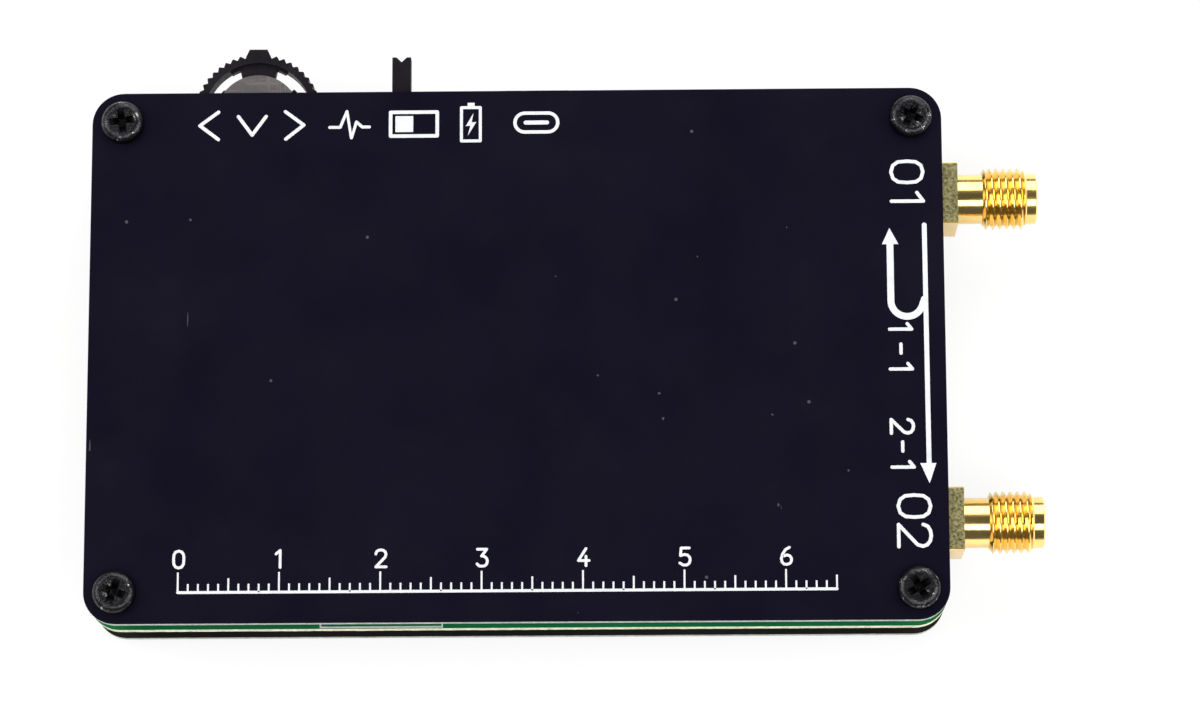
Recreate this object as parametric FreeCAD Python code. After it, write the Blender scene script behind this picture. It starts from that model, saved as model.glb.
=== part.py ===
"""Pocket two-port antenna analyzer, lying on its display with the rear cover up.

Two black covers and a green main board are stacked on corner standoffs.  The display
sits between the front bezel and the board.  The battery, the jog switch, the power
switch and the charging socket sit between the board and the rear cover.  Two threaded
coaxial ports stand out of the right-hand edge.

Every shape is made about the middle of the covers, with X to the right, Y towards the
jog wheel and Z up from the table.  save() then moves it to the part's own frame, whose
origin is the middle of the bottom of the part's box.
"""
import FreeCAD, Part
import math
import os

from FreeCAD import Vector

# Outline shared by both covers and the main board
outline_length = 85.5
outline_width = 54.0
outline_corner = 3.2

# The stack, from the table up
bezel_thickness = 1.0
front_gap = 4.2
board_thickness = 1.6
rear_gap = 3.2
cover_thickness = 1.0

# Corner screws and standoffs
hole_inset = 3.1
hole_clearance = 0.1
screw_diameter = 2.5
screw_head_diameter = 4.3
screw_head_height = 1.3
screw_head_edge = 0.75
screw_bite = 1.8
screw_tip_chamfer = 0.3
recess_reach = 1.25
recess_floor_reach = 0.45
recess_arm_width = 0.72
recess_depth = 0.85
standoff_across_flats = 4.5
standoff_chamfer = 0.25
thread_clearance = 0.02
stud_bite = 1.1
blind_end = 0.5
rear_screw_turns = (8.0, -27.0, -19.0, 31.0)
front_screw_turns = (15.0, -35.0, 40.0, -5.0)

# Display
display_left_margin = 6.4
display_right_margin = 9.9
display_side_margin = 2.0
touch_thickness = 1.1
touch_border = 0.25
glass_thickness = 1.0
tray_thickness = 1.4
tray_floor = 0.3
tray_wall = 0.9
panel_corner = 0.8
view_left_border = 8.4
view_right_border = 2.8
view_side_border = 2.9
window_corner = 0.8
tape_width = 8.0
tape_inset = 3.0
flex_width = 22.0
flex_thickness = 0.18
flex_bend = 1.1
flex_pad = 2.6

# Coaxial ports
port_spacing = 33.2
flange_size = 6.35
flange_thickness = 1.65
flange_edge = 0.3
neck_diameter = 5.0
neck_length = 2.55
thread_major = 6.2
thread_pitch = 0.7056
thread_depth = 0.46
thread_crest = 0.09
thread_length = 4.45
thread_start_angle = 47.0
tip_diameter = 5.15
tip_length = 1.05
tip_edge = 0.12
nose_diameter = 4.6
nose_depth = 1.93
dielectric_diameter = 4.1
contact_diameter = 1.27
contact_bore = 0.94
contact_bore_depth = 2.9
contact_slot_width = 0.14
contact_slot_depth = 2.2
contact_pin_diameter = 0.8
contact_pin_length = 3.6
pin_slot_clearance = 0.1
leg_size = 0.95
leg_length = 4.4
leg_spread = 5.1

# Charging socket
usb_from_left = 44.75
usb_width = 8.94
usb_cover_clearance = 0.06
usb_wall = 0.29
usb_corner = 1.45
usb_length = 7.3
usb_proud = 0.3
usb_plug_depth = 5.3
tongue_width = 6.69
tongue_thickness = 0.7
tongue_recess = 0.9
usb_contact_count = 12
usb_contact_pitch = 0.5
usb_contact_width = 0.28
usb_contact_thickness = 0.06
usb_tail_length = 0.9
usb_foot_width = 0.7
usb_foot_length = 1.3

# Jog switch
jog_from_left = 16.55
jog_inset = 2.05
jog_rock = 12.0
jog_travel = 0.4
jog_root_radius = 6.14
jog_tooth_height = 0.31
jog_tooth_pitch = 7.2
jog_tooth_tip = 0.1
jog_first_tooth = 16.6
jog_tooth_count = 11
jog_bump_height = 0.79
jog_bump_base = 2.55
jog_bump_top = 1.8
jog_rim_width = 0.62
jog_lip_width = 0.27
jog_lip_half_angle = 31.0
jog_hub_radius = 4.05
jog_boss_radius = 2.0
jog_running_clearance = 0.05
jog_spoke_inner = 3.25
jog_spoke_outer = 4.1
jog_disc_radius = 4.25
jog_disc_thickness = 0.2
jog_cover_clearance = 0.3
jog_floor_thickness = 0.4
jog_carriage_thickness = 0.4
jog_spring_room = 0.65
jog_web_drop = 0.5
jog_web_thickness = 0.9
jog_carriage_width = 5.2
jog_block_wall = 0.6
jog_boss_gap = 0.15
jog_floor_width = 12.4
jog_floor_setback = 0.1
jog_block_depth = 2.2
jog_stop_angle = 48.0
jog_stop_width = 0.55
jog_post_reach = 4.72
jog_wire = 0.2
jog_loop_radius = 2.75
jog_leaf_thickness = 0.12
jog_leaf_rise = 0.43
jog_leaf_span = 5.0
jog_terminal_count = 5
jog_terminal_pitch = 2.0
jog_terminal_width = 0.7
jog_terminal_length = 1.1
jog_terminal_thickness = 0.25

# Power switch
power_from_left = 32.05
power_travel = 2.0
power_width = 8.6
power_depth = 3.4
power_setback = 0.3
power_cover_clearance = 0.35
power_sheet = 0.2
power_base_height = 0.85
power_block_width = 3.6
power_block_clearance = 0.08
power_stem_width = 1.9
power_stem_height = 1.5
power_stem_reach = 4.1
power_notch_width = 1.05
power_notch_depth = 0.5
power_terminal_count = 3
power_terminal_pitch = 2.5
power_terminal_width = 0.6
power_terminal_length = 1.0
power_terminal_thickness = 0.2
power_clip_thickness = 0.15

# Battery
battery_left_inset = 6.3
battery_bottom_inset = 5.0
battery_jog_clearance = 3.2
battery_length = 40.0
battery_edge = 0.9
battery_swell_room = 0.35
battery_tape_thickness = 0.3
battery_tape_inset = 4.0
battery_head = 2.6
battery_head_drop = 0.5
lead_diameter = 1.0
lead_pitch = 1.6
lead_from_head = 8.0
lead_bend = 2.6
lead_run = 1.6
lead_rise = 2.4
plug_width = 4.6
plug_length = 3.4
plug_height = 2.2
socket_floor = 0.4
socket_wall = 0.6
socket_length = 4.6
socket_height = 2.7
socket_fit = 0.05

# Shielded radio section and other board parts
shield_gap_from_leads = 2.4
shield_right_inset = 5.9
shield_bottom_inset = 5.4
shield_top_inset = 19.6
shield_cover_clearance = 0.9
shield_sheet = 0.2
shield_corner = 0.8
shield_vent_diameter = 1.2
shield_vent_pitch = 3.4
processor_size = 7.0
processor_height = 1.3
codec_size = 5.0
codec_height = 0.85
mixer_length = 4.9
mixer_width = 3.9
mixer_height = 1.3
clock_size = 3.0
clock_height = 0.9
lead_frame_thickness = 0.15
crystal_length = 3.2
crystal_width = 2.5
crystal_height = 0.8
small_chip_length = 2.9
small_chip_width = 1.6
small_chip_height = 1.05
power_chip_count = 2
inductor_size = 3.8
inductor_height = 1.6
chip_length = 1.6
chip_width = 0.8
capacitor_height = 0.75
resistor_height = 0.45
chip_end = 0.3
chip_row_pitch = 1.3
led_length = 1.6
led_width = 0.9
led_height = 0.5
led_lens_height = 0.35
led_setback = 0.25
status_led_from_left = 25.95
charge_led_from_left = 38.2
processor_pin_pitch = 0.5
processor_pin_width = 0.22
processor_pin_length = 1.0
processor_pins_per_side = 12
part_gap = 1.0
chip_rows = 4

# Places worked out from the sizes above
left_edge = -outline_length / 2
right_edge = outline_length / 2
bottom_edge = -outline_width / 2
top_edge = outline_width / 2
bezel_low = screw_head_height
bezel_high = bezel_low + bezel_thickness
board_low = bezel_high + front_gap
board_high = board_low + board_thickness
cover_low = board_high + rear_gap
cover_high = cover_low + cover_thickness
hole_radius = screw_diameter / 2 + hole_clearance
port_axis_height = (board_low + board_high) / 2
port_reach = flange_thickness + neck_length + thread_length + tip_length
port_places = {"upper": port_spacing / 2, "lower": -port_spacing / 2}
jog_x = left_edge + jog_from_left
jog_y = top_edge - jog_inset
jog_reach = jog_root_radius + jog_bump_height - jog_inset
middle_x = port_reach / 2
middle_y = jog_reach / 2
made = []


def box(x0, x1, y0, y1, z0, z1):
    """A block between two corners."""
    return Part.makeBox(x1 - x0, y1 - y0, z1 - z0, Vector(x0, y0, z0))


def centred_box(x, y, length, width, z0, z1):
    """A block centred on x, y."""
    return box(x - length / 2, x + length / 2, y - width / 2, y + width / 2, z0, z1)


def post(x, y, radius, z0, z1):
    """An upright cylinder."""
    return Part.makeCylinder(radius, z1 - z0, Vector(x, y, z0))



def prism(points, z0, z1):
    """A polygon, given as x, y points, pulled straight up."""
    corners = [Vector(x, y, z0) for x, y in points]
    face = Part.Face(Part.makePolygon(corners + corners[:1]))
    return face.extrude(Vector(0, 0, z1 - z0))


def cross_prism(points, y0, y1):
    """A polygon, given as x, z points, pulled along Y."""
    corners = [Vector(x, y0, z) for x, z in points]
    face = Part.Face(Part.makePolygon(corners + corners[:1]))
    return face.extrude(Vector(0, y1 - y0, 0))


def rounded_block(x0, x1, y0, y1, z0, z1, radius):
    """A block with its four upright edges rounded."""
    block = box(x0, x1, y0, y1, z0, z1)
    upright = [e for e in block.Edges if abs(e.Vertexes[0].Z - e.Vertexes[1].Z) > (z1 - z0) / 2]
    return block.makeFillet(radius, upright)


def turned(points, x=0.0, y=0.0, z=0.0):
    """A profile of radius, height points turned about an upright axis."""
    corners = [Vector(r, 0, h) for r, h in points]
    face = Part.Face(Part.makePolygon(corners + corners[:1]))
    solid = face.revolve(Vector(0, 0, 0), Vector(0, 0, 1), 360)
    solid.translate(Vector(x, y, z))
    return solid


def joined(shapes):
    """One solid from touching shapes."""
    whole = shapes[0].fuse(shapes[1:]) if len(shapes) > 1 else shapes[0]
    return whole.removeSplitter()


def moved(shape, x=0.0, y=0.0, z=0.0):
    """A copy, shifted."""
    copy = shape.copy()
    copy.translate(Vector(x, y, z))
    return copy


def spun(shape, angle, x=0.0, y=0.0):
    """A copy, turned about an upright axis at x, y."""
    copy = shape.copy()
    copy.rotate(Vector(x, y, 0), Vector(0, 0, 1), angle)
    return copy


def mirrored_left(shape, x):
    """A copy mirrored in the upright plane across X at x."""
    return shape.mirror(Vector(x, 0, 0), Vector(1, 0, 0))


def save(node, shapes):
    """Writes one named piece, or a group of like pieces, in the part's own frame."""
    shapes = shapes if isinstance(shapes, list) else [shapes]
    solids = [s for shape in shapes for s in shape.Solids]
    for solid in solids:
        if not solid.isValid() or solid.Volume <= 0:
            raise ValueError(f"{node} has a bad solid")
    whole = solids[0] if len(solids) == 1 else Part.makeCompound(solids)
    moved(whole, -middle_x, -middle_y).exportStep(os.path.join("parts", f"{node}.step"))
    made.append(node)


def corner_places():
    """The four screw places, clockwise from the upper left."""
    x = outline_length / 2 - hole_inset
    y = outline_width / 2 - hole_inset
    return [(-x, y), (x, y), (-x, -y), (x, -y)]


def outline_plate(z0, z1):
    """The shared outline with its four corner holes."""
    plate = rounded_block(left_edge, right_edge, bottom_edge, top_edge, z0, z1, outline_corner)
    return plate.cut([post(x, y, hole_radius, z0, z1) for x, y in corner_places()])


def polar(radius, angle):
    """The point at an angle measured clockwise from +Y."""
    turn = math.radians(angle)
    return radius * math.sin(turn), radius * math.cos(turn)


def sector(inner, outer, start, end, z0, z1):
    """Part of an upright ring, between two angles measured clockwise from +Y."""
    corners = [Vector(inner, 0, z0), Vector(outer, 0, z0), Vector(outer, 0, z1), Vector(inner, 0, z1)]
    face = Part.Face(Part.makePolygon(corners + corners[:1]))
    solid = face.revolve(Vector(0, 0, 0), Vector(0, 0, 1), end - start)
    return spun(solid, 90 - end)


def bend(x, z, inner, outer, start, end, y0, y1):
    """Part of a ring about an axis along Y, between two angles from +X towards +Z."""
    corners = [Vector(inner, y0, 0), Vector(outer, y0, 0), Vector(outer, y1, 0), Vector(inner, y1, 0)]
    face = Part.Face(Part.makePolygon(corners + corners[:1]))
    solid = face.revolve(Vector(0, 0, 0), Vector(0, -1, 0), end - start)
    solid.rotate(Vector(0, 0, 0), Vector(0, -1, 0), start)
    return moved(solid, x, 0, z)


def rounded_tube(x0, x1, y0, y1, z0, z1, radius):
    """A block whose four edges along Y are rounded."""
    block = box(x0, x1, y0, y1, z0, z1)
    along = [e for e in block.Edges if abs(e.Vertexes[0].Y - e.Vertexes[1].Y) > (y1 - y0) / 2]
    return block.makeFillet(radius, along)


def make_covers():
    """The rear cover, the main board and the front bezel with its window."""
    save("rear_cover", outline_plate(cover_low, cover_high))
    slots = [box(x0, x1, y0, y1, board_low, board_high) for x0, x1, y0, y1 in usb_foot_slots()]
    save("main_board", outline_plate(board_low, board_high).cut(slots))
    x0, x1, y0, y1 = display_view()
    window = rounded_block(x0, x1, y0, y1, bezel_low, bezel_high, window_corner)
    save("front_bezel", outline_plate(bezel_low, bezel_high).cut(window))


def screw(x, y, seat, turn):
    """A pan-head screw driven down from its seat, with a cross recess."""
    radius = screw_head_diameter / 2
    top = seat + screw_head_height
    head = post(x, y, radius, seat, top)
    rim = [e for e in head.Edges if e.Length > radius and e.BoundBox.ZMin > seat + screw_head_height / 2]
    head = head.makeFillet(screw_head_edge, rim)
    end = seat - cover_thickness - screw_bite
    shank = post(0, 0, screw_diameter / 2, end, seat)
    tip = [e for e in shank.Edges if e.BoundBox.ZMax < end + screw_tip_chamfer]
    shank = moved(shank.makeChamfer(screw_tip_chamfer, tip), x, y)
    floor = top - recess_depth
    half = recess_arm_width / 2
    wedge = [(-recess_reach, top), (-recess_floor_reach, floor), (recess_floor_reach, floor), (recess_reach, top)]
    arm = cross_prism(wedge, -half, half)
    cross = joined([arm, spun(arm, 90)])
    return joined([head, shank]).cut(spun(moved(cross, x, y), turn, x, y))


def flipped(shape, height):
    """A copy turned over about a level line at this height, along X."""
    copy = shape.copy()
    copy.rotate(Vector(0, 0, height), Vector(1, 0, 0), 180)
    return copy


def hexagon(x, y, z0, z1):
    """A hexagonal post with its end corners broken."""
    reach = standoff_across_flats / math.sqrt(3)
    points = []
    for angle in range(30, 390, 60):
        turn = math.radians(angle)
        points.append((x + reach * math.cos(turn), y + reach * math.sin(turn)))
    edge = standoff_chamfer
    cone = [(0, z0), (reach - edge, z0), (reach, z0 + edge), (reach, z1 - edge), (reach - edge, z1), (0, z1)]
    return prism(points, z0, z1).common(turned(cone, x, y))


def make_fasteners():
    """Screws at both faces and the two sets of standoffs at the board."""
    bore = screw_diameter / 2 + thread_clearance
    rear = [screw(x, y, cover_high, turn) for (x, y), turn in zip(corner_places(), rear_screw_turns)]
    save("rear_screws", rear)
    seat = -bezel_low
    front = [flipped(screw(x, -y, seat, turn), 0) for (x, y), turn in zip(corner_places(), front_screw_turns)]
    save("front_screws", front)
    upper = [hexagon(x, y, board_high, cover_low).cut(post(x, y, bore, board_high, cover_low))
             for x, y in corner_places()]
    save("rear_standoffs", upper)
    lower = []
    for x, y in corner_places():
        body = hexagon(x, y, bezel_high, board_low)
        stud = post(x, y, screw_diameter / 2, board_low, board_high + stud_bite)
        hole = post(x, y, bore, bezel_high, bezel_high + screw_bite + blind_end)
        lower.append(joined([body, stud]).cut(hole))
    save("front_standoffs", lower)


def display_outline():
    """The display's box in plan."""
    half = outline_width / 2 - display_side_margin
    return left_edge + display_left_margin, right_edge - display_right_margin, -half, half


def display_view():
    """The part of the display that shows through the bezel."""
    x0, x1, y0, y1 = display_outline()
    return x0 + view_left_border, x1 - view_right_border, y0 + view_side_border, y1 - view_side_border


def make_display():
    """Touch glass, display glass, backlight tray, light guide and foam tape, in that order."""
    x0, x1, y0, y1 = display_outline()
    touch_high = bezel_high + touch_thickness
    glass_high = touch_high + glass_thickness
    tray_high = glass_high + tray_thickness
    gap = touch_border
    panel = (x0 + gap, x1 - gap, y0 + gap, y1 - gap)
    save("touch_glass", rounded_block(*panel, bezel_high, touch_high, panel_corner))
    save("display_glass", box(*panel, touch_high, glass_high))
    tray = rounded_block(x0, x1, y0, y1, glass_high, tray_high, panel_corner)
    wall = tray_wall
    pocket = (x0 + wall, x1 - wall, y0 + wall, y1 - wall, glass_high, tray_high - tray_floor)
    save("backlight_tray", tray.cut(box(*pocket)))
    save("light_guide", box(*pocket))
    left = box(x0 + tape_inset, x0 + tape_inset + tape_width, y0, y1, tray_high, board_low)
    right = box(x1 - tape_inset - tape_width, x1 - tape_inset, y0, y1, tray_high, board_low)
    save("display_tape", [left, right])
    make_flex(x0 + gap, (touch_high + glass_high) / 2)


def make_flex(start, level):
    """The ribbon from the end of the display glass to the underside of the board."""
    half = flex_width / 2
    skin = flex_thickness / 2
    inner = flex_bend - skin
    outer = flex_bend + skin
    wall = start - flex_bend * 1.5
    rise = board_low - skin - flex_bend
    turn = wall - flex_bend
    pieces = [
        box(wall + flex_bend, start, -half, half, level - skin, level + skin),
        bend(wall + flex_bend, level + flex_bend, inner, outer, 180, 270, -half, half),
        bend(turn, rise, inner, outer, 0, 90, -half, half),
        box(turn - flex_pad, turn, -half, half, board_low - flex_thickness, board_low),
    ]
    if rise > level + flex_bend:
        pieces.append(box(wall - skin, wall + skin, -half, half, level + flex_bend, rise))
    save("display_flex", joined(pieces))


def thread_groove(start, end):
    """The V-shaped groove of the coaxial thread, about the Z axis."""
    crest = thread_major / 2
    root = crest - thread_depth
    over = thread_crest / 2
    half = (thread_pitch - thread_crest) / 2 * (1 + over / thread_depth)
    mouth = crest + over
    corners = [Vector(root, 0, start), Vector(mouth, 0, start + half), Vector(mouth, 0, start - half)]
    helix = Part.makeHelix(thread_pitch, end - start, crest)
    helix.translate(Vector(0, 0, start))
    groove = Part.Wire(helix).makePipeShell([Part.makePolygon(corners + corners[:1])], True, True)
    return spun(groove, thread_start_angle)


def coaxial_body():
    """Flange, neck, threaded barrel, tip and board legs, about the Z axis."""
    neck_end = flange_thickness + neck_length
    thread_end = neck_end + thread_length
    crest = thread_major / 2
    root = crest - thread_depth
    tip = tip_diameter / 2
    outline = [
        (0, flange_thickness / 2),
        (neck_diameter / 2, flange_thickness / 2),
        (neck_diameter / 2, neck_end),
        (root, neck_end),
        (crest, neck_end + thread_depth / 2),
        (crest, thread_end - thread_depth),
        (root, thread_end),
        (tip, thread_end),
        (tip, port_reach - tip_edge),
        (tip - tip_edge, port_reach),
        (0, port_reach),
    ]
    barrel = turned(outline).cut(thread_groove(neck_end - thread_pitch / 2, thread_end + thread_pitch / 2))
    half = flange_size / 2
    flange = rounded_block(-half, half, -half, half, 0, flange_thickness, flange_edge)
    legs = []
    low = board_thickness / 2
    for side in (-1, 1):
        for face in (-1, 1):
            x0, x1 = sorted((face * low, face * (low + leg_size)))
            y = side * leg_spread / 2
            legs.append(box(x0, x1, y - leg_size / 2, y + leg_size / 2, -leg_length, flange_thickness / 2))
    whole = joined([barrel, flange] + legs)
    bore = post(0, 0, dielectric_diameter / 2, 0, port_reach - nose_depth)
    nose = post(0, 0, nose_diameter / 2, port_reach - nose_depth, port_reach)
    return whole.cut([bore, nose])


def coaxial_contact():
    """The centre socket with its slotted mouth and the tab that lies on the board."""
    mouth = port_reach - nose_depth
    half = contact_pin_diameter / 2
    low = board_thickness / 2
    body = post(0, 0, contact_diameter / 2, flange_thickness / 2, mouth)
    riser = box(-low - half, half, -half, half, 0, flange_thickness / 2 + half)
    tab = box(-low - half, -low, -half, half, -contact_pin_length, 0)
    bore = post(0, 0, contact_bore / 2, mouth - contact_bore_depth, mouth)
    slit = centred_box(0, 0, contact_diameter, contact_slot_width, mouth - contact_slot_depth, mouth)
    whole = joined([body, riser])
    return whole, joined([whole, tab]).cut([bore, slit, spun(slit, 90)])


def outward(shape, y):
    """Lays an upright coaxial piece along +X at the board edge."""
    copy = shape.copy()
    copy.rotate(Vector(0, 0, 0), Vector(0, 1, 0), 90)
    return moved(copy, right_edge, y, port_axis_height)


def make_ports():
    """Both coaxial ports: outer body, dielectric and centre contact."""
    body = coaxial_body()
    core, contact = coaxial_contact()
    dielectric = post(0, 0, dielectric_diameter / 2, 0, port_reach - nose_depth).cut(core)
    for place, y in port_places.items():
        save(f"{place}_port_body", outward(body, y))
        save(f"{place}_port_dielectric", outward(dielectric, y))
        save(f"{place}_port_contact", outward(contact, y))


def usb_box():
    """The charging socket's shell: x0, x1, y0, y1, z0, z1."""
    x = left_edge + usb_from_left
    half = usb_width / 2
    mouth = top_edge + usb_proud
    return x - half, x + half, mouth - usb_length, mouth, board_high, cover_low - usb_cover_clearance


def usb_feet(clearance=0.0):
    """Four shell feet, as x0, x1, y0, y1, grown by a clearance."""
    x0, x1, y0, y1, _, _ = usb_box()
    edge = usb_wall + usb_foot_width
    feet = []
    for start in (y0 + usb_foot_length, y1 - usb_proud - 2 * usb_foot_length):
        for low in (x0 + usb_wall, x1 - edge):
            feet.append((low - clearance, low + usb_foot_width + clearance,
                         start - clearance, start + usb_foot_length + clearance))
    return feet


def usb_foot_slots():
    """The slots in the board that take the shell feet."""
    return usb_feet(pin_slot_clearance)


def make_usb():
    """Charging socket: steel shell, plastic tongue and contacts."""
    x0, x1, y0, y1, z0, z1 = usb_box()
    wall = usb_wall
    back = y1 - usb_plug_depth - wall
    shell = rounded_tube(x0, x1, y0, y1, z0, z1, usb_corner)
    cavity = rounded_tube(x0 + wall, x1 - wall, y0, y1, z0 + wall, z1 - wall, usb_corner - wall)
    feet = [box(*foot, board_low + usb_foot_width / 2, board_high + wall) for foot in usb_feet()]
    save("usb_shell", joined([shell.cut(cavity)] + [foot.cut(cavity) for foot in feet]))
    plug = rounded_tube(x0 + wall, x1 - wall, y0, back, z0 + wall, z1 - wall, usb_corner - wall)
    centre = (x0 + x1) / 2
    middle_z = (z0 + z1) / 2
    half = tongue_thickness / 2
    skin = usb_contact_thickness
    tongue = box(centre - tongue_width / 2, centre + tongue_width / 2, back, y1 - tongue_recess,
                 middle_z - half + skin, middle_z + half - skin)
    save("usb_insulator", joined([plug, tongue]))
    strips = []
    for index in range(usb_contact_count):
        x = centre + (index - (usb_contact_count - 1) / 2) * usb_contact_pitch
        edge = usb_contact_width / 2
        end = y1 - 2 * tongue_recess
        strips.append(box(x - edge, x + edge, back, end, middle_z + half - skin, middle_z + half))
        strips.append(box(x - edge, x + edge, back, end, middle_z - half, middle_z - half + skin))
        strips.append(box(x - edge, x + edge, y0 - usb_tail_length, y0, z0, z0 + 3 * skin))
    save("usb_contacts", strips)


def jog_levels():
    """Heights in the jog switch: floor, carriage, wheel, hub, disc."""
    floor = board_high + jog_floor_thickness
    carriage = floor + jog_running_clearance
    deck = carriage + jog_carriage_thickness
    hub = deck + jog_spring_room + jog_running_clearance
    wheel_top = cover_low - jog_cover_clearance
    disc = wheel_top - jog_running_clearance - jog_disc_thickness
    return floor, carriage, deck, hub, wheel_top, disc


def jog_crown(z0, z1):
    """The finger teeth to the right of the bump."""
    inner = jog_root_radius - jog_tooth_height
    tip = jog_root_radius + jog_tooth_height
    half = jog_tooth_pitch / 2
    flat = math.degrees(jog_tooth_tip / 2 / tip)
    points = [polar(jog_root_radius, jog_first_tooth - half)]
    for index in range(jog_tooth_count):
        angle = jog_first_tooth + index * jog_tooth_pitch
        points += [polar(tip, angle - flat), polar(tip, angle + flat), polar(jog_root_radius, angle + half)]
    for index in range(jog_tooth_count, -1, -1):
        points.append(polar(inner, jog_first_tooth + (index - 0.5) * jog_tooth_pitch))
    return prism(points, z0, z1)


def jog_lug(near, far, turn, z0, z1):
    """A block just outside the right spring leg, turned clockwise by an angle."""
    start = jog_wire / 2 + thread_clearance
    return spun(box(start, start + jog_stop_width, near, far, z0, z1), -turn)


def both_sides(shape):
    """The shape and its mirror image across the middle of the jog switch."""
    return [shape, mirrored_left(shape, 0)]


def make_jog_wheel():
    """The toothed thumb wheel with its bump, three spokes and hub."""
    _, _, deck, hub, top, disc = jog_levels()
    low = deck + 2 * jog_running_clearance
    web_high = top - jog_web_drop
    web_low = web_high - jog_web_thickness
    rim = jog_root_radius - jog_rim_width
    ring = post(0, 0, jog_root_radius, low, top).cut(post(0, 0, rim, low, top))
    inner = jog_root_radius - jog_rim_width / 2
    peak = jog_root_radius + jog_bump_height
    foot = jog_bump_base / 2
    brow = jog_bump_top / 2
    rise = jog_root_radius
    bump = prism([(-foot, inner), (-foot, rise), (-brow, peak), (brow, peak), (foot, rise), (foot, inner)], low, top)
    crown = jog_crown(low, top)
    near = jog_hub_radius - jog_lip_width
    spoke = prism([(-jog_spoke_inner / 2, near), (jog_spoke_inner / 2, near),
                   (jog_spoke_outer / 2, inner), (-jog_spoke_outer / 2, inner)], web_low, web_high)
    lip = sector(rim - jog_lip_width, inner, -jog_lip_half_angle, jog_lip_half_angle, web_low, web_high)
    arms = [spun(shape, turn) for shape in (spoke, lip) for turn in (0, 120, 240)]
    hub_ring = post(0, 0, jog_hub_radius, hub, disc - jog_running_clearance)
    lug = jog_lug(jog_hub_radius - jog_stop_width, jog_hub_radius, jog_stop_angle, low, hub + jog_stop_width)
    whole = joined([ring, bump, hub_ring] + both_sides(crown) + arms + both_sides(lug))
    bore = post(0, 0, jog_boss_radius + jog_running_clearance, low, top)
    save("jog_wheel", moved(whole.cut(bore), jog_x, jog_y))


def make_jog_carriage():
    """The sliding carriage with the wheel's boss, the spring posts and the turning stops."""
    _, low, deck, hub, _, disc = jog_levels()
    plate = post(0, 0, jog_hub_radius, low, deck)
    tail_end = -jog_block_front() - jog_block_wall - jog_travel
    tail = box(-jog_carriage_width / 2, jog_carriage_width / 2, tail_end, 0, low, deck)
    boss = post(0, 0, jog_boss_radius, low, disc)
    collar = post(0, 0, jog_boss_radius + jog_wire, low, hub - jog_running_clearance)
    ear = jog_lug(jog_hub_radius - jog_stop_width, jog_post_reach, jog_stop_angle, low, deck)
    stud = jog_lug(jog_hub_radius + jog_boss_gap, jog_post_reach, jog_stop_angle, low, hub)
    limit = jog_stop_angle + jog_rock
    near = jog_hub_radius - jog_stop_width
    stop = moved(jog_lug(near, jog_hub_radius, 0, low, hub - jog_running_clearance), jog_stop_width)
    stop = spun(stop, -limit)
    pieces = [plate, tail, boss, collar] + both_sides(ear) + both_sides(stud) + both_sides(stop)
    save("jog_carriage", moved(joined(pieces), jog_x, jog_y))
    save("jog_disc", moved(post(0, 0, jog_disc_radius, disc, disc + jog_disc_thickness), jog_x, jog_y))


def jog_block_front():
    """Distance from the wheel's centre back to the switch block."""
    return jog_root_radius + jog_travel + jog_cover_clearance


def make_jog_base():
    """The fixed floor with its rails and the block that holds the push spring."""
    floor, _, deck, _, _, _ = jog_levels()
    half = jog_floor_width / 2
    front = -jog_block_front()
    back = front - jog_block_depth
    plate = box(-half, half, front, jog_inset - jog_floor_setback, board_high, floor)
    block = box(-half, half, back, front, board_high, cover_low - 2 * jog_cover_clearance)
    way = jog_carriage_width / 2 + jog_running_clearance
    rail = box(way, way + jog_block_wall, front, -jog_hub_radius, board_high, deck)
    room_end = back + jog_block_wall
    room = box(-jog_leaf_span / 2 - jog_block_wall / 2, jog_leaf_span / 2 + jog_block_wall / 2, room_end,
               front - jog_block_wall, floor, deck + jog_block_wall)
    tunnel = box(-way, way, front - jog_block_wall, front, floor, deck + jog_running_clearance)
    base = joined([plate, block] + both_sides(rail)).cut([room, tunnel])
    save("jog_base", moved(base, jog_x, jog_y))
    tabs = []
    for index in range(jog_terminal_count):
        x = (index - (jog_terminal_count - 1) / 2) * jog_terminal_pitch
        tabs.append(centred_box(x, back - jog_terminal_length / 2, jog_terminal_width, jog_terminal_length,
                                board_high, board_high + jog_terminal_thickness))
    save("jog_terminals", [moved(tab, jog_x, jog_y) for tab in tabs])
    make_push_spring(room_end, floor, deck + jog_block_wall)


def make_push_spring(wall, z0, z1):
    """The bowed leaf that pushes the carriage back out."""
    span = jog_leaf_span / 2
    radius = (span ** 2 + jog_leaf_rise ** 2) / (2 * jog_leaf_rise)
    spread = math.degrees(math.asin(span / radius))
    centre = wall + jog_leaf_thickness + jog_leaf_rise - radius
    gap = jog_running_clearance
    leaf = sector(radius - jog_leaf_thickness, radius, -spread, spread, z0 + gap, z1 - gap)
    save("jog_push_spring", moved(leaf, jog_x, jog_y + centre))


def make_centring_spring():
    """The wire loop round the boss, with one leg against each spring post."""
    _, _, deck, _, _, _ = jog_levels()
    radius = jog_wire / 2
    level = deck + jog_running_clearance + radius
    circle = Part.Face(Part.Wire(Part.makeCircle(radius, Vector(jog_loop_radius, 0, level), Vector(0, 1, 0))))
    loop = circle.revolve(Vector(0, 0, 0), Vector(0, 0, 1), 360 - 2 * jog_stop_angle)
    pieces = [spun(loop, 90 + jog_stop_angle)]
    for turn in (jog_stop_angle, -jog_stop_angle):
        start = Vector(0, jog_loop_radius, level)
        leg = Part.makeCylinder(radius, jog_post_reach - jog_loop_radius, start, Vector(0, 1, 0))
        pieces += [spun(leg, -turn), spun(Part.makeSphere(radius, start), -turn)]
    save("jog_centring_spring", moved(joined(pieces), jog_x, jog_y))


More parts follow.
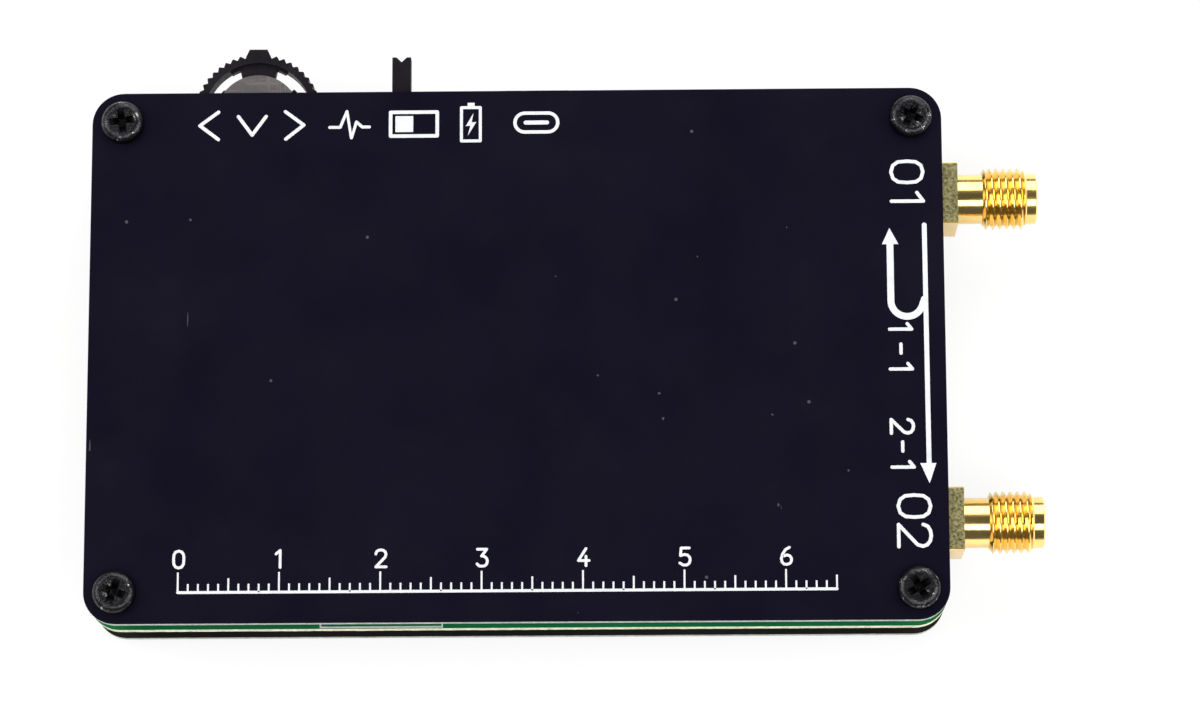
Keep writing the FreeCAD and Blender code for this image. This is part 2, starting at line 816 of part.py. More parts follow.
def make_power_switch():
    """The slide switch: steel frame, plastic base, slider with its notched lever, clip and tabs."""
    x = left_edge + power_from_left
    front = top_edge - power_setback
    back = front - power_depth
    half = power_width / 2
    sheet = power_sheet
    gap = power_block_clearance
    roof = cover_low - power_cover_clearance
    stem_low = board_high + power_base_height
    stem_high = stem_low + power_stem_height
    frame = box(x - half, x + half, back, front, board_high, roof)
    plan = (x - half + sheet, x + half - sheet, back + sheet, front - sheet)
    room = box(*plan, board_high, roof - sheet)
    reach = power_travel / 2 + power_stem_width / 2 + gap / 2
    slot = box(x - reach, x + reach, front - sheet, front, stem_low - gap, stem_high + gap)
    save("power_frame", frame.cut([room, slot]))
    deck = stem_low - gap - power_clip_thickness
    save("power_base", box(*plan, board_high, deck - gap))
    rest = x - power_travel / 2
    wide = power_block_width / 2
    inside = front - sheet - gap
    block = box(rest - wide, rest + wide, back + sheet + gap, inside, deck + power_clip_thickness, roof - sheet - gap)
    end = top_edge + power_stem_reach
    stem = box(rest - power_stem_width / 2, rest + power_stem_width / 2, inside - gap, end, stem_low, stem_high)
    notch = prism([(rest - power_notch_width / 2, end), (rest, end - power_notch_depth),
                   (rest + power_notch_width / 2, end)], stem_low, stem_high)
    save("power_slider", joined([block, stem]).cut(notch))
    save("power_clip", box(rest - wide + gap, rest + wide - gap, back + sheet + 3 * gap, inside - 3 * gap, deck,
                           deck + power_clip_thickness))
    tabs = []
    for index in range(power_terminal_count):
        middle = x + (index - (power_terminal_count - 1) / 2) * power_terminal_pitch
        tabs.append(centred_box(middle, back - power_terminal_length / 2, power_terminal_width, power_terminal_length,
                                board_high, board_high + power_terminal_thickness))
    save("power_terminals", tabs)


def battery_box():
    """The battery with its head: x0, x1, y0, y1, z0, z1."""
    x0 = left_edge + battery_left_inset
    y0 = bottom_edge + battery_bottom_inset
    y1 = jog_y - jog_block_front() - jog_block_depth - battery_jog_clearance
    return x0, x0 + battery_length, y0, y1, board_high + battery_tape_thickness, cover_low - battery_swell_room


def make_battery():
    """Pouch cell, its protection head, its tape and its lead."""
    x0, x1, y0, y1, z0, z1 = battery_box()
    neck = x1 - battery_head
    pouch = box(x0, neck, y0, y1, z0, z1)
    long_edges = [e for e in pouch.Edges if abs(e.Vertexes[0].X - e.Vertexes[1].X) > battery_edge]
    save("battery_pouch", pouch.makeFillet(battery_edge, long_edges))
    drop = battery_head_drop
    save("battery_head", box(neck, x1, y0 + 2 * drop, y1 - 2 * drop, z0 + drop, z1 - drop))
    inset = battery_tape_inset
    save("battery_tape", box(x0 + inset, neck - inset, y0 + inset, y1 - inset, board_high, z0))
    make_battery_lead(x1, y1 - lead_from_head)


def make_battery_lead(x, y):
    """Two insulated wires that turn towards +Y into the plug, and the socket that takes it."""
    floor = board_high + socket_floor
    level = floor + socket_fit + plug_height / 2
    centre = Vector(x + lead_run, y + lead_bend, level)
    for node, offset in (("battery_lead_red", 0.0), ("battery_lead_black", lead_pitch)):
        radius = lead_bend + offset
        start = Vector(x, centre.y - radius, level)
        knee = Vector(centre.x, centre.y - radius, level)
        turn = Vector(centre.x + radius * math.sqrt(0.5), centre.y - radius * math.sqrt(0.5), level)
        rise = Vector(centre.x + radius, centre.y, level)
        end = Vector(rise.x, rise.y + lead_rise, level)
        path = Part.Wire([Part.makeLine(start, knee), Part.Arc(knee, turn, rise).toShape(), Part.makeLine(rise, end)])
        circle = Part.Wire(Part.makeCircle(lead_diameter / 2, start, Vector(1, 0, 0)))
        save(node, path.makePipeShell([circle], True, True))
    middle = centre.x + lead_bend + lead_pitch / 2
    low = centre.y + lead_rise
    save("battery_plug", centred_box(middle, low + plug_length / 2, plug_width, plug_length, floor + socket_fit,
                                     floor + socket_fit + plug_height))
    mouth = low + plug_length / 3
    wide = plug_width + 2 * (socket_fit + socket_wall)
    rim = board_high + socket_height
    housing = centred_box(middle, mouth + socket_length / 2, wide, socket_length, board_high, rim)
    room = box(middle - plug_width / 2 - socket_fit, middle + plug_width / 2 + socket_fit, mouth,
               low + plug_length + socket_fit, floor, rim)
    save("battery_socket", housing.cut(room))


def shield_box():
    """The radio shield: x0, x1, y0, y1, z0, z1."""
    _, battery_right, _, _, _, _ = battery_box()
    plug_right = battery_right + lead_run + lead_bend + lead_pitch / 2 + plug_width / 2 + socket_wall
    return (plug_right + shield_gap_from_leads, right_edge - shield_right_inset, bottom_edge + shield_bottom_inset,
            top_edge - shield_top_inset, board_high, cover_low - shield_cover_clearance)


def make_radio():
    """The shield can over the mixers and the clock chip."""
    x0, x1, y0, y1, z0, z1 = shield_box()
    sheet = shield_sheet
    can = rounded_block(x0, x1, y0, y1, z0, z1, shield_corner)
    room = rounded_block(x0 + sheet, x1 - sheet, y0 + sheet, y1 - sheet, z0, z1 - sheet, shield_corner - sheet)
    middle = (x0 + x1) / 2
    vents = []
    for row in range(-1, 2):
        for column in range(-1, 2):
            vents.append(post(middle + column * shield_vent_pitch, y0 + (row + 2) * shield_vent_pitch,
                              shield_vent_diameter / 2, z1 - sheet, z1))
    save("radio_shield", can.cut([room] + vents))
    spread = (x1 - x0) / 3
    mixers = [chip(x0 + (index + 0.5) * spread, (y0 + y1) / 2, mixer_width, mixer_length, mixer_height)
              for index in range(3)]
    save("mixers", mixers)
    save("clock_chip", chip(middle, y1 - clock_size, clock_size, clock_size, clock_height))


def chip(x, y, length, width, height):
    """A plain packaged chip on the board."""
    return centred_box(x, y, length, width, board_high, board_high + height)


def chip_column(x, y, height):
    """A column of two-ended chips: the bodies and their metal ends."""
    bodies = []
    ends = []
    reach = chip_length / 2 - chip_end / 2
    for index in range(chip_rows):
        middle = y + chip_width / 2 + index * chip_row_pitch
        bodies.append(chip(x, middle, chip_length - 2 * chip_end, chip_width, height))
        for side in (-reach, reach):
            ends.append(chip(x + side, middle, chip_end, chip_width, height))
    return bodies, ends


def columns_per_kind(first):
    """How many columns of each of two kinds of chip fit from there to the corner standoff."""
    room = right_edge - hole_inset - standoff_across_flats / math.sqrt(3) - part_gap - first
    return int((room + part_gap) / (chip_length + part_gap)) // 2


def make_processor():
    """Processor with its pins, sound converter, crystal and the chip parts above them."""
    left, _, _, shield_top, _, _ = shield_box()
    half = processor_size / 2 + processor_pin_length
    x = left + half
    y = shield_top + part_gap + half
    save("processor", chip(x, y, processor_size, processor_size, processor_height))
    pins = []
    reach = half - processor_pin_length / 2
    for index in range(processor_pins_per_side):
        offset = (index - (processor_pins_per_side - 1) / 2) * processor_pin_pitch
        for side in (-reach, reach):
            pins.append(chip(x + offset, y + side, processor_pin_width, processor_pin_length, lead_frame_thickness))
            pins.append(chip(x + side, y + offset, processor_pin_length, processor_pin_width, lead_frame_thickness))
    save("processor_pins", pins)
    save("sound_converter", chip(x + half + part_gap + codec_size / 2, y, codec_size, codec_size, codec_height))
    row = y + half + part_gap
    middle = row + crystal_width / 2
    save("crystal", chip(left + crystal_length / 2, middle, crystal_length, crystal_width, crystal_height))
    groups = {"capacitors": capacitor_height, "resistors": resistor_height}
    ends = []
    first = left + crystal_length + part_gap
    column = first + chip_length / 2
    for node, height in groups.items():
        bodies = []
        for _ in range(columns_per_kind(first)):
            more, more_ends = chip_column(column, row, height)
            bodies += more
            ends += more_ends
            column += chip_length + part_gap
        save(node, bodies)
    save("chip_ends", ends)


def make_power_parts():
    """The charger and regulator beside their inductor, behind the power switch."""
    x = left_edge + power_from_left - power_width / 2 + inductor_size / 2
    back = top_edge - power_setback - power_depth - power_terminal_length - part_gap
    save("inductor", chip(x, back - inductor_size / 2, inductor_size, inductor_size, inductor_height))
    first = x + inductor_size / 2 + part_gap + small_chip_width / 2
    step = small_chip_width + part_gap
    save("power_chips", [chip(first + index * step, back - small_chip_length / 2, small_chip_width,
                              small_chip_length, small_chip_height) for index in range(power_chip_count)])


def make_indicators():
    """The status and charge lights at the edge of the board."""
    y = top_edge - led_setback - led_width / 2
    bases = []
    for node, distance in (("status_light", status_led_from_left), ("charge_light", charge_led_from_left)):
        x = left_edge + distance
        base_high = board_high + led_height - led_lens_height / 2
        bases.append(centred_box(x, y, led_length, led_width, board_high, base_high))
        save(node, centred_box(x, y, led_length - 2 * chip_end, led_width, base_high, base_high + led_lens_height))
    save("light_bases", bases)


def main():
    """Makes every piece."""
    os.makedirs("parts", exist_ok=True)
    make_covers()
    make_fasteners()
    make_display()
    make_ports()
    make_usb()
    make_jog_wheel()
    make_jog_carriage()
    make_jog_base()
    make_centring_spring()
    make_power_switch()
    make_battery()
    make_radio()
    make_processor()
    make_power_parts()
    make_indicators()
    print(len(made), "pieces")


main()
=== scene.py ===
import math

import bpy
from mathutils import Matrix, Vector


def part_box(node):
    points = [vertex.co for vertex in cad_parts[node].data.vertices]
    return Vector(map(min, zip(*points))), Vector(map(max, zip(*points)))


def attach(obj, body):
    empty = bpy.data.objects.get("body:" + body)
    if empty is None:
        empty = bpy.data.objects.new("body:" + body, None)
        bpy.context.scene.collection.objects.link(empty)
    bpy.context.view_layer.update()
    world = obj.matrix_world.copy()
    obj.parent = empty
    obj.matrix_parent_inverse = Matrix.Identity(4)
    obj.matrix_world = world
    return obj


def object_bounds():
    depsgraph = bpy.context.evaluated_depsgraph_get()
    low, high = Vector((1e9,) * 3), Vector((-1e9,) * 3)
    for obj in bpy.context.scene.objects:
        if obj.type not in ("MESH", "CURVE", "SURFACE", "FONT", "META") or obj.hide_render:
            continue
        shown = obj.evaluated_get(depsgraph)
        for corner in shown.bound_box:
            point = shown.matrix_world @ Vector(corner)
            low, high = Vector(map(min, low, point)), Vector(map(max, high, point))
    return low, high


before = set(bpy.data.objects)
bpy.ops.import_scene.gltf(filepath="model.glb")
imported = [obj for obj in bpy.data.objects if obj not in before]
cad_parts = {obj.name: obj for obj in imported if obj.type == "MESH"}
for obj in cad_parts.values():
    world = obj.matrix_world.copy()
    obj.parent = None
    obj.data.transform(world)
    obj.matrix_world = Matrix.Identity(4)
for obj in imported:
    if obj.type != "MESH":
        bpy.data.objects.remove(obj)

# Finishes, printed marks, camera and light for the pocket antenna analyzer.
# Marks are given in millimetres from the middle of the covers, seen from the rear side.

CAD_LOW, CAD_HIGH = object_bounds()

MM = 0.001
COVER_LENGTH, COVER_WIDTH = 85.5, 54.0
COVER_LOW, COVER_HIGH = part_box("rear_cover")
SHIFT_X = COVER_LOW.x / MM + COVER_LENGTH / 2
SHIFT_Y = COVER_LOW.y / MM + COVER_WIDTH / 2
REAR_FACE = COVER_HIGH.z / MM
FRONT_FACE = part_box("front_bezel")[0].z / MM
BOARD_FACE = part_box("main_board")[1].z / MM

# Finishes. Colours are linear, lengths in millimetres unless a name says otherwise.
MASK_BLACK = (0.0034, 0.0025, 0.0082), (0.0048, 0.0038, 0.0102)
MASK_GREEN = (0.0010, 0.115, 0.036), (0.0018, 0.145, 0.048)
# The bezel has the cover's black mask; this lighter, browner copy is painted reflected light on
# it.
MASK_BEZEL_PAINTED_LIGHT = (0.0090, 0.0078, 0.0080), (0.0125, 0.0110, 0.0110)
SAWN_GREY = (0.56, 0.60, 0.54), (0.30, 0.32, 0.28)
SAWN_CREAM = (0.90, 0.92, 0.68), (0.55, 0.52, 0.34)
# The main board's sawn edge is darker towards the bottom, along a wavy border.
LOWER_EDGE_DARK = (0.030, 0.026, 0.020)
DARK_EDGE_BELOW, DARK_BORDER_WAVE, DARK_BORDER_BLEND = -0.3, 0.9, 0.08
DUST_COLOR, DUST_STRENGTH = (0.22, 0.22, 0.21), 0.22
FLANGE_REACH, FLANGE_BLEND = 1.62, 0.1
# Painted shade in the screws' cross recesses: full below the first height from the stack's middle,
# gone above the second.
RECESS_SHADE_FULL, RECESS_SHADE_END = 6.15, 6.6
RECESS_SHADE_COLOR = (0.004, 0.004, 0.005)
PICTURE_LEFT, PICTURE_RIGHT, PICTURE_ENDS = 8.7, 3.1, 3.2
FOIL_COLOR = (0.66, 0.67, 0.69)
INK_COLOR = (0.62, 0.63, 0.64)

# Raised ink. Neighbours differ by a step in height, so that no two tops share a plane.
PRINT_RISE, PRINT_STEP, PRINT_LEVELS = 0.02, 0.0006, 9
ARC_STEPS, CAP_STEPS = 16, 8
CORNER_STEP, MITRE_LIMIT, STRAIGHT = 0.35, 0.3, 1e-6
FINE_PEN, PEN, BOLD_PEN = 0.30, 0.35, 0.68

# The photograph's camera, placed from the middle of the cover's rear face; turns in radians.
SENSOR_WIDTH, FOCAL_LENGTH = 36.0, 129.55
CAMERA_PLACE = (15.168, -86.681, 421.127)
CAMERA_TURN = (0.2007, 0.0169, -0.0035)
CLIP_NEAR, CLIP_FAR = 0.01, 20.0

# Studio, in metres and watts.
WHITE = (1.0, 1.0, 1.0, 1.0)
BACKDROP, SURROUND, SURROUND_GLOSSY = 1.0, 0.34, 0.11
FLOOR_REACH, FLOOR_LEVEL = 3.0, -0.00005
FLOOR_COLOR, FLOOR_ROUGH, FLOOR_GLOW = (0.86, 0.86, 0.86, 1.0), 0.9, 0.78
AIM = (0.0, 0.0, 0.01)
SOFT_BOXES = {
    "box_left": ((-0.55, 0.10, 0.55), (0.5, 0.5), 3.2),
    "box_right": ((0.60, -0.10, 0.50), (0.4, 0.4), 3.2),
    "box_back": ((0.15, 0.70, 0.55), (0.9, 0.7), 6.0),
    "box_over": ((0.05, -0.50, 0.88), (0.9, 0.42), 5.0),
}


class Finish:
    """A procedural material and the few node types that it needs. Scales are per metre."""

    def __init__(self, name, color, rough, metallic=0.0):
        self.material = bpy.data.materials.new(name)
        self.material.use_nodes = True
        self.tree = self.material.node_tree
        self.shader = self.tree.nodes["Principled BSDF"]
        self.material.diffuse_color = (*color, 1.0)
        self.value("Base Color", (*color, 1.0))
        self.value("Roughness", rough)
        self.value("Metallic", metallic)
        self.place = self.tree.nodes.new("ShaderNodeTexCoord")
        self.coords = self.place.outputs["Object"]

    def value(self, socket, value):
        """Sets a uniform value on the shader's own socket."""
        self.shader.inputs[socket].default_value = value

    def put(self, socket, output):
        """Links a node's output to the shader."""
        self.tree.links.new(output, self.shader.inputs[socket])

    def node(self, kind, inputs, **settings):
        """A new node; each input is another node's output or a plain value."""
        made = self.tree.nodes.new(kind)
        for key, setting in settings.items():
            setattr(made, key, setting)
        for key, source in inputs.items():
            if isinstance(source, bpy.types.NodeSocket):
                self.tree.links.new(source, made.inputs[key])
            else:
                made.inputs[key].default_value = source
        return made

    def math(self, operation, first, second=0.0, clamp=False):
        inputs = {0: first, 1: second}
        made = self.node("ShaderNodeMath", inputs, operation=operation, use_clamp=clamp)
        return made.outputs[0]

    def add(self, first, second, clamp=False):
        return self.math("ADD", first, second, clamp)

    def times(self, first, second):
        return self.math("MULTIPLY", first, second)

    def above(self, source, level):
        return self.math("GREATER_THAN", source, level)

    def below(self, source, level):
        return self.math("LESS_THAN", source, level)

    def stretch(self, x=1.0, y=1.0, z=1.0):
        """Coordinates scaled per axis; a low scale draws a pattern out along that axis."""
        made = self.node("ShaderNodeMapping", {"Vector": self.coords, "Scale": (x, y, z)})
        return made.outputs[0]

    def noise(self, scale, detail=2.0, rough=0.5, where=None):
        inputs = {"Vector": where or self.coords, "Scale": scale, "Detail": detail,
                  "Roughness": rough}
        return self.node("ShaderNodeTexNoise", inputs).outputs[0]

    def cells(self, scale, where=None):
        inputs = {"Vector": where or self.coords, "Scale": scale}
        return self.node("ShaderNodeTexVoronoi", inputs).outputs["Distance"]

    def ramp(self, source, low, high, at_low=0.0, at_high=1.0):
        """Maps low..high to at_low..at_high and holds the ends."""
        inputs = {"Value": source, "From Min": low, "From Max": high, "To Min": at_low,
                  "To Max": at_high}
        return self.node("ShaderNodeMapRange", inputs, clamp=True).outputs[0]

    def mix(self, share, first, second):
        """A colour between first and second; either is a colour or a node's output."""
        first, second = [
            source if isinstance(source, bpy.types.NodeSocket) else (*source, 1.0)
            for source in (first, second)
        ]
        # Sockets 6 and 7 are the mix node's two colours, and output 2 is its colour.
        made = self.node("ShaderNodeMix", {0: share, 6: first, 7: second}, data_type="RGBA")
        return made.outputs[2]

    def axis(self, name, space="Object"):
        made = self.node("ShaderNodeSeparateXYZ", {0: self.place.outputs[space]})
        return made.outputs[name]

    def level(self):
        """How level a face is, from 0 for upright to 1."""
        return self.math("ABSOLUTE", self.axis("Z", "Normal"))

    def bump(self, height, strength, depth):
        inputs = {"Height": height, "Strength": strength, "Distance": depth * MM}
        self.put("Normal", self.node("ShaderNodeBump", inputs).outputs[0])


def dust(finish):
    """A few specks and short hairs on a board's face, as a weak mask."""
    specks = finish.below(finish.cells(420.0), 0.07)
    specks = finish.times(specks, finish.above(finish.noise(260.0, detail=1.0), 0.62))
    hairs = finish.below(finish.cells(700.0, finish.stretch(y=0.06)), 0.05)
    hairs = finish.times(hairs, finish.above(finish.noise(150.0, detail=1.0), 0.66))
    return finish.times(finish.math("MAXIMUM", specks, hairs), DUST_STRENGTH)


def laminate(name, mask, sawn, rough, gloss, dark_edge_below=None):
    """Solder mask on a board's level faces, and its sawn glass-fibre edge.

    Below a given height, in metres, the edge is darker, along a wavy border.
    """
    finish = Finish(name, mask[0], rough)
    finish.value("Specular IOR Level", gloss)
    tone = finish.ramp(finish.noise(90.0, 4.0, 0.55), 0.35, 0.68)
    face = finish.mix(dust(finish), finish.mix(tone, *mask), DUST_COLOR)
    layers = finish.noise(1600.0, 3.0, 0.6, finish.stretch(0.25, 0.25, 3.0))
    strokes = finish.noise(2600.0, 4.0, 0.7, finish.stretch(z=0.2))
    grain = finish.times(finish.add(layers, strokes), 0.5)
    edge = finish.mix(finish.ramp(grain, 0.38, 0.62), *sawn)
    # Darker towards the bottom of the edge, along a wavy border.
    if dark_edge_below is not None:
        wave = finish.times(finish.noise(1100.0, 4.0, 0.7, finish.stretch(z=0.0)), DARK_BORDER_WAVE * MM)
        height = finish.math("SUBTRACT", finish.axis("Z"), wave)
        darker_below = finish.ramp(height, dark_edge_below, dark_edge_below + DARK_BORDER_BLEND * MM, 1.0, 0.0)
        edge = finish.mix(darker_below, edge, LOWER_EDGE_DARK)
    upright = finish.ramp(finish.level(), 0.35, 0.65, 1.0, 0.0)
    finish.put("Base Color", finish.mix(upright, face, edge))
    face_rough = finish.ramp(finish.noise(140.0, 3.0), 0.3, 0.7, rough - 0.05, rough + 0.07)
    finish.put("Roughness", finish.add(face_rough, finish.times(upright, 0.45)))
    peel = finish.times(finish.noise(900.0), 0.25)
    saw_marks = finish.times(finish.times(grain, upright), 2.5)
    finish.bump(finish.add(peel, saw_marks), 0.35, 0.02)
    return finish.material


def gold():
    """Polished gold barrel with a frosted, cast-looking top on its flange."""
    finish = Finish("coaxial_gold", (0.92, 0.66, 0.25), 0.2, 1.0)
    end = COVER_HIGH.x + FLANGE_REACH * MM
    flange = finish.ramp(finish.axis("X"), end, end + FLANGE_BLEND * MM, 1.0, 0.0)
    flange = finish.times(flange, finish.ramp(finish.level(), 0.75, 0.95))
    patch = finish.ramp(finish.noise(420.0, 4.0, 0.6), 0.35, 0.65)
    polished = finish.mix(patch, (0.94, 0.69, 0.27), (0.86, 0.60, 0.20))
    frost = finish.noise(3600.0, 5.0, 0.8)
    cast = finish.mix(finish.ramp(frost, 0.38, 0.60), (0.065, 0.058, 0.022), (0.40, 0.36, 0.18))
    finish.put("Base Color", finish.mix(flange, polished, cast))
    scratch = finish.noise(900.0, 3.0, 0.6, finish.stretch(x=0.1))
    rough = finish.ramp(scratch, 0.3, 0.7, 0.10, 0.24)
    finish.put("Roughness", finish.add(rough, finish.times(flange, 0.34), clamp=True))
    lathe = finish.times(finish.noise(5200.0, where=finish.stretch(1.0, 0.05, 0.05)), 0.10)
    grit = finish.times(finish.times(frost, flange), 2.2)
    finish.bump(finish.add(lathe, grit), 0.5, 0.03)
    return finish.material


def metal(name, color, rough, second=None, along=(1.0, 0.08, 1.0)):
    """Sheet or turned metal with directional marks."""
    finish = Finish(name, color, rough, 1.0)
    lines = finish.noise(900.0, 4.0, 0.65, finish.stretch(*along))
    cloud = finish.ramp(finish.noise(160.0, 3.0), 0.35, 0.65)
    second = second or tuple(part * 0.8 for part in color)
    finish.put("Base Color", finish.mix(cloud, color, second))
    finish.put("Roughness", finish.ramp(lines, 0.3, 0.7, rough - 0.1, rough + 0.1))
    finish.bump(lines, 0.4, 0.004)
    return finish.material


def plastic(name, color, rough, second=None, grain=1500.0, depth=0.006, gloss=0.5):
    """Moulded plastic with a fine spark-eroded grain."""
    finish = Finish(name, color, rough)
    finish.value("Specular IOR Level", gloss)
    cloud = finish.ramp(finish.noise(300.0, 3.0), 0.35, 0.65)
    second = second or tuple(part * 0.75 for part in color)
    finish.put("Base Color", finish.mix(cloud, color, second))
    fine = finish.noise(grain, 3.0, 0.6)
    finish.put("Roughness", finish.ramp(fine, 0.3, 0.7, rough - 0.06, rough + 0.08))
    finish.bump(fine, 0.5, depth)
    return finish.material


def black_screw():
    """Black oxide steel, turned, with bright bare-metal specks (partly real wear, partly painted
    glints) and painted shade in the cross recess.
    """
    finish = Finish("black_screw", (0.022, 0.021, 0.023), 0.22, 0.85)
    # Bright bare-metal specks: partly real wear, partly painted glints.
    wear_and_glint_specks = finish.ramp(finish.noise(1300.0, 5.0, 0.7), 0.60, 0.68)
    skin = finish.mix(wear_and_glint_specks, (0.030, 0.029, 0.032), (0.55, 0.54, 0.52))
    # Painted shade: the deep parts of the cross recess are darkened, by height from the stack's
    # middle.
    middle = (CAD_LOW.z + CAD_HIGH.z) / 2
    rise = finish.math("ABSOLUTE", finish.math("SUBTRACT", finish.axis("Z"), middle))
    clear_of_recess_shade = finish.ramp(rise, RECESS_SHADE_FULL * MM, RECESS_SHADE_END * MM)
    finish.put("Base Color", finish.mix(clear_of_recess_shade, RECESS_SHADE_COLOR, skin))
    finish.put("Roughness", finish.ramp(finish.noise(700.0, 3.0), 0.3, 0.7, 0.12, 0.26))
    finish.bump(finish.noise(1100.0, 4.0, 0.75), 1.0, 0.12)
    return finish.material


def foil():
    """Laminated battery foil with soft creases."""
    finish = Finish("pouch_foil", FOIL_COLOR, 0.34, 0.9)
    crease = finish.noise(70.0, 4.0, 0.6, finish.stretch(y=0.4))
    finish.put("Roughness", finish.ramp(crease, 0.3, 0.7, 0.28, 0.42))
    finish.bump(crease, 0.35, 0.15)
    cloud = finish.ramp(finish.noise(30.0), 0.4, 0.6)
    finish.put("Base Color", finish.mix(cloud, FOIL_COLOR, (0.60, 0.61, 0.63)))
    return finish.material


def screen():
    """Black border printed under the touch glass, and the dark picture area inside it."""
    finish = Finish("touch_screen", (0.006, 0.006, 0.008), 0.06)
    finish.value("Coat Weight", 1.0)
    finish.value("Coat Roughness", 0.03)
    low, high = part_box("touch_glass")
    x, y = finish.axis("X"), finish.axis("Y")
    inside = finish.times(finish.above(x, low.x + PICTURE_LEFT * MM),
                          finish.below(x, high.x - PICTURE_RIGHT * MM))
    inside = finish.times(inside, finish.above(y, low.y + PICTURE_ENDS * MM))
    inside = finish.times(inside, finish.below(y, high.y - PICTURE_ENDS * MM))
    pixels = finish.ramp(finish.cells(7000.0), 0.2, 0.6)
    picture = finish.mix(pixels, (0.020, 0.023, 0.026), (0.012, 0.014, 0.017))
    finish.put("Base Color", finish.mix(inside, (0.004, 0.004, 0.005), picture))
    smear = finish.noise(60.0, 4.0, 0.7)
    finish.put("Roughness", finish.ramp(smear, 0.35, 0.7, 0.05, 0.14))
    return finish.material


def print_ink():
    """White screen-printed ink, slightly uneven."""
    finish = Finish("white_print", INK_COLOR, 0.6)
    finish.value("Specular IOR Level", 0.2)
    cloud = finish.noise(900.0, 3.0, 0.6)
    color = finish.mix(finish.ramp(cloud, 0.3, 0.7), INK_COLOR, (0.52, 0.53, 0.55))
    finish.put("Base Color", color)
    finish.bump(cloud, 0.3, 0.006)
    return finish.material


def disc_metal():
    """Worn brown-grey steel with crossing scratches."""
    finish = Finish("worn_disc", (0.20, 0.18, 0.17), 0.38, 1.0)
    one = finish.noise(1500.0, 4.0, 0.7, finish.stretch(y=0.12))
    two = finish.noise(1200.0, 4.0, 0.7, finish.stretch(x=0.15))
    both = finish.math("MAXIMUM", one, two)
    bright = finish.ramp(both, 0.5, 0.74)
    finish.put("Base Color", finish.mix(bright, (0.138, 0.127, 0.130), (0.34, 0.31, 0.295)))
    finish.put("Roughness", finish.ramp(both, 0.45, 0.75, 0.5, 0.32))
    finish.bump(both, 0.4, 0.01)
    return finish.material


def dress_nodes():
    """One finish for each CAD piece."""
    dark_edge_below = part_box("main_board")[0].z + DARK_EDGE_BELOW * MM
    finishes = {
        laminate("black_cover", MASK_BLACK, SAWN_GREY, 0.34, 0.06): ["rear_cover"],
        laminate("green_board", MASK_GREEN, SAWN_CREAM, 0.30, 0.35, dark_edge_below): ["main_board"],
        laminate("black_bezel", MASK_BEZEL_PAINTED_LIGHT, SAWN_GREY, 0.34, 0.10): ["front_bezel"],
        black_screw(): ["rear_screws", "front_screws"],
        metal("plated_brass", (0.62, 0.55, 0.38), 0.26, (0.54, 0.46, 0.29), (1.0, 1.0, 0.1)):
            ["rear_standoffs", "front_standoffs"],
        gold(): ["upper_port_body", "lower_port_body"],
        metal("flash_gold", (0.84, 0.66, 0.30), 0.22):
            ["upper_port_contact", "lower_port_contact", "usb_contacts", "power_clip"],
        plastic("white_fluoropolymer", (0.86, 0.85, 0.80), 0.35):
            ["upper_port_dielectric", "lower_port_dielectric"],
        metal("tinned_sheet", (0.60, 0.60, 0.58), 0.30):
            ["usb_shell", "jog_terminals", "power_frame", "power_terminals", "radio_shield",
             "processor_pins", "crystal", "chip_ends"],
        metal("spring_steel", (0.46, 0.44, 0.41), 0.26):
            ["jog_push_spring", "jog_centring_spring"],
        plastic("black_moulding", (0.0060, 0.0048, 0.0075), 0.38, (0.010, 0.0078, 0.0115),
                gloss=0.10):
            ["usb_insulator", "jog_wheel", "jog_carriage", "jog_base", "power_base",
             "power_slider"],
        disc_metal(): ["jog_disc"],
        plastic("chip_resin", (0.022, 0.022, 0.024), 0.48, grain=2600.0):
            ["mixers", "clock_chip", "processor", "sound_converter", "inductor", "power_chips",
             "resistors"],
        plastic("tan_ceramic", (0.36, 0.25, 0.15), 0.4): ["capacitors"],
        plastic("white_moulding", (0.80, 0.80, 0.76), 0.4):
            ["backlight_tray", "battery_plug", "battery_socket", "light_bases"],
        plastic("clear_guide", (0.80, 0.82, 0.82), 0.12): ["light_guide"],
        plastic("black_foam", (0.02, 0.02, 0.02), 0.85, grain=900.0, depth=0.05, gloss=0.2):
            ["display_tape", "battery_tape"],
        plastic("amber_film", (0.55, 0.27, 0.03), 0.25, (0.46, 0.20, 0.02), gloss=0.6):
            ["display_flex", "battery_head"],
        foil(): ["battery_pouch"],
        plastic("red_sleeve", (0.50, 0.012, 0.010), 0.35): ["battery_lead_red"],
        plastic("black_sleeve", (0.014, 0.014, 0.014), 0.35): ["battery_lead_black"],
        plastic("lamp_lens", (0.80, 0.80, 0.66), 0.18): ["status_light", "charge_light"],
        screen(): ["touch_glass"],
        plastic("display_layer", (0.03, 0.032, 0.035), 0.15): ["display_glass"],
    }
    for material, names in finishes.items():
        for name in names:
            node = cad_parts[name]
            if not node.material_slots:
                node.data.materials.append(material)
            for slot in node.material_slots:
                slot.material = material


def arc(x, y, radius, start, end):
    """Points along an arc, in degrees from +X."""
    turns = [math.radians(start + (end - start) * index / ARC_STEPS)
             for index in range(ARC_STEPS + 1)]
    return [(x + radius * math.cos(turn), y + radius * math.sin(turn)) for turn in turns]


def rectangle(x0, x1, y0, y1):
    return [(x0, y0), (x1, y0), (x1, y1), (x0, y1)]


